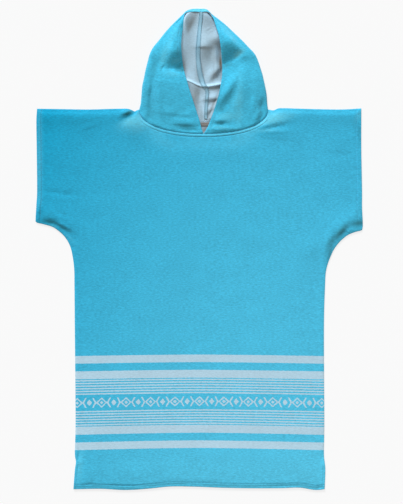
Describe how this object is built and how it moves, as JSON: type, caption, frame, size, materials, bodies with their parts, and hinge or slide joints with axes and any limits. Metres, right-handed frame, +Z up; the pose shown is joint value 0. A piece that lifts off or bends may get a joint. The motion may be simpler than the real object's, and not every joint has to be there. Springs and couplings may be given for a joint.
{
  "type": "hooded bath poncho",
  "caption": "Hooded towelling poncho lying flat face up, with short wide sleeves cut in one with the body, side slits, a striped border above the hem and an open hood.",
  "frame": {"origin": "on the surface that the garment lies on, in the middle of its outline as seen from above", "axes": "+X towards the sleeve on the right as seen from above, +Y from the hem towards the hood, +Z up, away from the surface"},
  "size_m": [0.884, 1.2994, 0.03],
  "materials": {
    "towelling": "turquoise cotton towelling with a clipped, faintly streaked pile, pale blue on the reverse, and pale blue woven stripes above the hem",
    "overlock": "overlocked seam allowance: turquoise thread wrapped over pale towelling"
  },
  "bodies": {
    "root": {"back_panel": "towelling", "front_panel": "towelling", "hood_left": "towelling", "hood_right": "towelling", "hood_seam_allowance": "overlock"}
  },
  "joints": []
}
